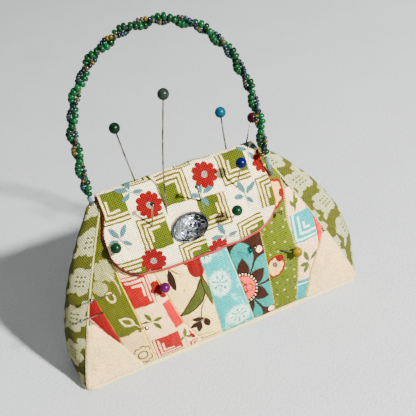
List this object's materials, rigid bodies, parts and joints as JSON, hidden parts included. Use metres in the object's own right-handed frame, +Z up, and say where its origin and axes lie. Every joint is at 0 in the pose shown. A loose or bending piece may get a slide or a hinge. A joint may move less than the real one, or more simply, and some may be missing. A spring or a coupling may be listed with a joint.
{
  "type": "pin cushion",
  "caption": "Stuffed patchwork pin cushion in the shape of a small handbag, with a buttoned flap, felt corners, a twisted bead handle and pearl-headed pins.",
  "frame": {"origin": "centre of the felt base's underside, on the surface it stands on", "axes": "+Z up, +X to the bag's right seen from the front, front faces -Y"},
  "size_m": [0.125, 0.0386, 0.1305],
  "materials": {
    "felt_cream": "matt wool felt",
    "cotton_floral": "printed cotton",
    "cotton_olive_leaf": "printed cotton",
    "cotton_coral": "printed cotton",
    "cotton_tulip": "printed cotton",
    "cotton_turquoise": "printed cotton",
    "cotton_brown": "printed cotton",
    "cotton_olive_apple": "printed cotton",
    "cotton_cream": "printed cotton",
    "cotton_red": "plain cotton",
    "cotton_back": "printed cotton",
    "flap_print": "printed cotton",
    "flap_lining": "printed cotton",
    "fibre": "loose fibre",
    "card": "stiff card",
    "button_metal": "darkened metal",
    "foil_stone": "silver foil behind clear facets",
    "thread": "twisted thread",
    "handle_thread": "twisted thread",
    "beads_green": "glossy glass seed beads",
    "beads_iridescent": "colour-lined glass seed beads",
    "end_bead": "glass bugle bead",
    "pin_steel": "polished wire",
    "pearl_green_tall": "pearl lacquer",
    "pearl_grey_long": "pearl lacquer",
    "pearl_turquoise": "pearl lacquer",
    "pearl_plum": "pearl lacquer",
    "pearl_navy": "pearl lacquer",
    "pearl_emerald": "pearl lacquer",
    "pearl_leaf_green": "pearl lacquer",
    "pearl_magenta": "pearl lacquer",
    "pearl_yellow": "pearl lacquer"
  },
  "bodies": {
    "bag": {"back_panel": "cotton_back", "base_card": "card", "base_felt": "felt_cream", "button_gem": "foil_stone", "button_setting": "button_metal", "button_thread": "thread", "felt_corner_back_left": "felt_cream", "felt_corner_back_right": "felt_cream", "felt_corner_front_left": "felt_cream", "felt_corner_front_right": "felt_cream", "flap_lining": "flap_lining", "flap_outer": "flap_print", "gusset_left": "cotton_floral", "gusset_ridge": "cotton_floral", "gusset_right": "cotton_floral", "handle_knot_left": "handle_thread", "handle_knot_right": "handle_thread", "ridge_filling": "fibre", "sliver_coral": "cotton_coral", "sliver_red": "cotton_red", "strip_brown_petal": "cotton_brown", "strip_coral_squares": "cotton_coral", "strip_cream_squares": "cotton_cream", "strip_olive_apple": "cotton_olive_apple", "strip_olive_leaf": "cotton_olive_leaf", "strip_tulip": "cotton_tulip", "strip_turquoise_dandelion": "cotton_turquoise", "stuffing_core": "fibre"},
    "handle": {"bead_strand_green": "beads_green", "bead_strand_iridescent": "beads_iridescent", "end_bead_left": "end_bead", "end_bead_right": "end_bead"},
    "pin_green_tall": {"pin_shaft_green_tall": "pin_steel", "pin_head_green_tall": "pearl_green_tall"},
    "pin_grey_long": {"pin_shaft_grey_long": "pin_steel", "pin_head_grey_long": "pearl_grey_long"},
    "pin_turquoise": {"pin_shaft_turquoise": "pin_steel", "pin_head_turquoise": "pearl_turquoise"},
    "pin_plum": {"pin_shaft_plum": "pin_steel", "pin_head_plum": "pearl_plum"},
    "pin_navy": {"pin_shaft_navy": "pin_steel", "pin_head_navy": "pearl_navy"},
    "pin_emerald": {"pin_shaft_emerald": "pin_steel", "pin_head_emerald": "pearl_emerald"},
    "pin_leaf_green": {"pin_shaft_leaf_green": "pin_steel", "pin_head_leaf_green": "pearl_leaf_green"},
    "pin_magenta": {"pin_shaft_magenta": "pin_steel", "pin_head_magenta": "pearl_magenta"},
    "pin_yellow": {"pin_shaft_yellow": "pin_steel", "pin_head_yellow": "pearl_yellow"},
    "pin_steel_flap_left": {"pin_steel_flap_left": "pin_steel"},
    "pin_steel_flap_middle": {"pin_steel_flap_middle": "pin_steel"},
    "pin_steel_right_seam": {"pin_steel_right_seam": "pin_steel"},
    "pin_steel_under_flap": {"pin_steel_under_flap": "pin_steel"},
    "pin_steel_low_left": {"pin_steel_low_left": "pin_steel"},
    "pin_steel_left_upper": {"pin_steel_left_upper": "pin_steel"},
    "pin_steel_left_lower": {"pin_steel_left_lower": "pin_steel"}
  },
  "joints": [
    {"name": "handle_swing", "type": "hinge", "parent": "bag", "child": "handle", "pos_m": [-0.0005, -0.0058, 0.0664], "axis": [0.9803, -0.0834, -0.1788], "range_deg": [-12, 80]},
    {"name": "pull_green_tall", "type": "slide", "parent": "bag", "child": "pin_green_tall", "axis": [-0.0648, 0.0741, 0.9951], "range_m": [-0.008, 0.024]},
    {"name": "pull_grey_long", "type": "slide", "parent": "bag", "child": "pin_grey_long", "axis": [0.1874, -0.0505, 0.981], "range_m": [0, 0.018]},
    {"name": "pull_turquoise", "type": "slide", "parent": "bag", "child": "pin_turquoise", "axis": [0.083, 0.1176, 0.9896], "range_m": [0, 0.022]},
    {"name": "pull_plum", "type": "slide", "parent": "bag", "child": "pin_plum", "axis": [0.5669, 0.4064, 0.7166], "range_m": [0, 0.016]},
    {"name": "pull_navy", "type": "slide", "parent": "bag", "child": "pin_navy", "axis": [0.0719, -0.4556, 0.8873], "range_m": [0, 0.02]},
    {"name": "pull_emerald", "type": "slide", "parent": "bag", "child": "pin_emerald", "axis": [-0.0249, -0.6985, 0.7152], "range_m": [0, 0.022]},
    {"name": "pull_leaf_green", "type": "slide", "parent": "bag", "child": "pin_leaf_green", "axis": [-0.2422, -0.9149, 0.3229], "range_m": [0, 0.015]},
    {"name": "pull_magenta", "type": "slide", "parent": "bag", "child": "pin_magenta", "axis": [0.1357, -0.9773, 0.1629], "range_m": [0, 0.022]},
    {"name": "pull_yellow", "type": "slide", "parent": "bag", "child": "pin_yellow", "axis": [0.8653, -0.4581, -0.2036], "range_m": [0, 0.022]},
    {"name": "pull_steel_flap_left", "type": "slide", "parent": "bag", "child": "pin_steel_flap_left", "axis": [0.0739, -0.4558, 0.887], "range_m": [0, 0.016]},
    {"name": "pull_steel_flap_middle", "type": "slide", "parent": "bag", "child": "pin_steel_flap_middle", "axis": [-0.1485, -0.5671, 0.8101], "range_m": [0, 0.016]},
    {"name": "pull_steel_right_seam", "type": "slide", "parent": "bag", "child": "pin_steel_right_seam", "axis": [0.7775, -0.622, 0.0933], "range_m": [0, 0.014]},
    {"name": "pull_steel_under_flap", "type": "slide", "parent": "bag", "child": "pin_steel_under_flap", "axis": [0.339, -0.4931, 0.8012], "range_m": [0, 0.014]},
    {"name": "pull_steel_low_left", "type": "slide", "parent": "bag", "child": "pin_steel_low_left", "axis": [0.1209, -0.8222, 0.5562], "range_m": [0, 0.016]},
    {"name": "pull_steel_left_upper", "type": "slide", "parent": "bag", "child": "pin_steel_left_upper", "axis": [-0.8102, -0.4235, 0.4051], "range_m": [0, 0.014]},
    {"name": "pull_steel_left_lower", "type": "slide", "parent": "bag", "child": "pin_steel_left_lower", "axis": [-0.8273, -0.4316, 0.3597], "range_m": [0, 0.014]}
  ]
}
